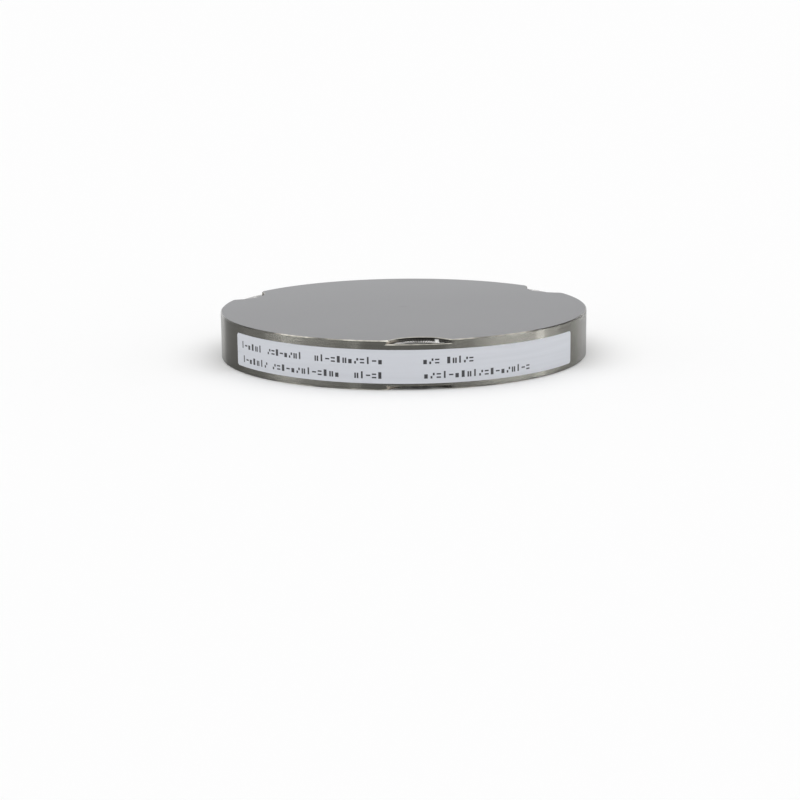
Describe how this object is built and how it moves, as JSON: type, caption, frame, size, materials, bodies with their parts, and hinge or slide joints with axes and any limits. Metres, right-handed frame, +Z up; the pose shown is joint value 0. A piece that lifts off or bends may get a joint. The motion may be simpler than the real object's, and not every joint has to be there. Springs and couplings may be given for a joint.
{
  "type": "cobalt chrome milling block",
  "caption": "Flat round cobalt chrome blank for a dental milling machine, with shallow crescent notches in both rim edges and a white label round the front of its rim.",
  "frame": {"origin": "centre of the bottom face", "axes": "+Z up the disc's axis; -Y towards the middle of the label; +X to the right of someone facing the label"},
  "size_m": [0.095, 0.0951, 0.012],
  "materials": {
    "cobalt_chrome": "matt machined faces, bright turned rim",
    "label_paper": "matt white self-adhesive label"
  },
  "bodies": {
    "root": {"milling_disc": "cobalt_chrome", "rim_label": "label_paper"}
  },
  "joints": []
}
